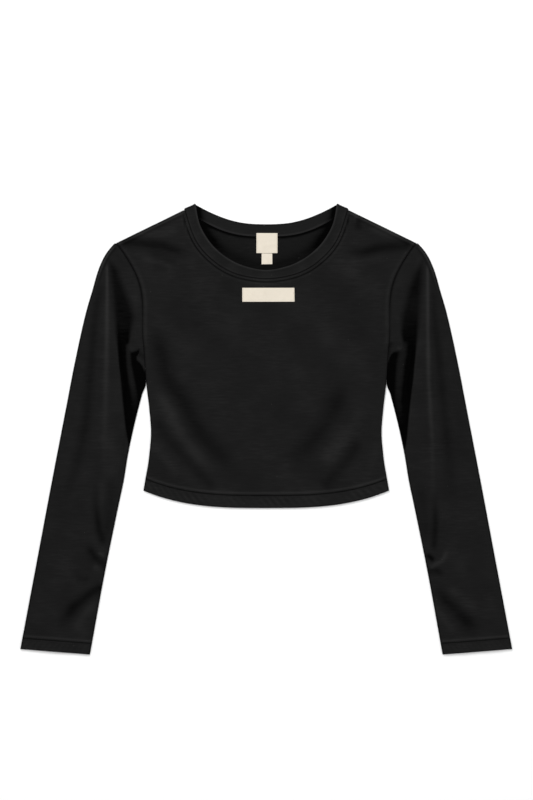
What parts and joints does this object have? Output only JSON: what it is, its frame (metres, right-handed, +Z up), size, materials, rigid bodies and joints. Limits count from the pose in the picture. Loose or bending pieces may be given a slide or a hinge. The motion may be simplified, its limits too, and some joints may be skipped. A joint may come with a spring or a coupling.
{
  "type": "long-sleeved crop top laid flat",
  "caption": "Fitted crop top in black jersey with a wide round neck and long slim sleeves, laid flat on its back, with soft folds at the underarms.",
  "frame": {"origin": "middle of the bounding box, on the surface the garment lies on", "axes": "+X across the garment towards the sleeve on the viewer's right, +Y from the hem towards the neck, +Z up out of the front"},
  "size_m": [0.689, 0.63, 0.0063],
  "materials": {
    "jersey": "near-black fine cotton jersey with a soft low sheen and faint cross slubs",
    "neckband_jersey": "the same jersey, folded double, topstitched along its seam",
    "woven_label": "cream woven tape with a fine even weave and no lettering"
  },
  "bodies": {
    "root": {"back_panel": "jersey", "front_panel": "jersey", "left_sleeve": "jersey", "right_sleeve": "jersey", "neckband": "neckband_jersey", "chest_label": "woven_label", "neck_label": "woven_label", "size_tab": "woven_label"}
  },
  "joints": []
}
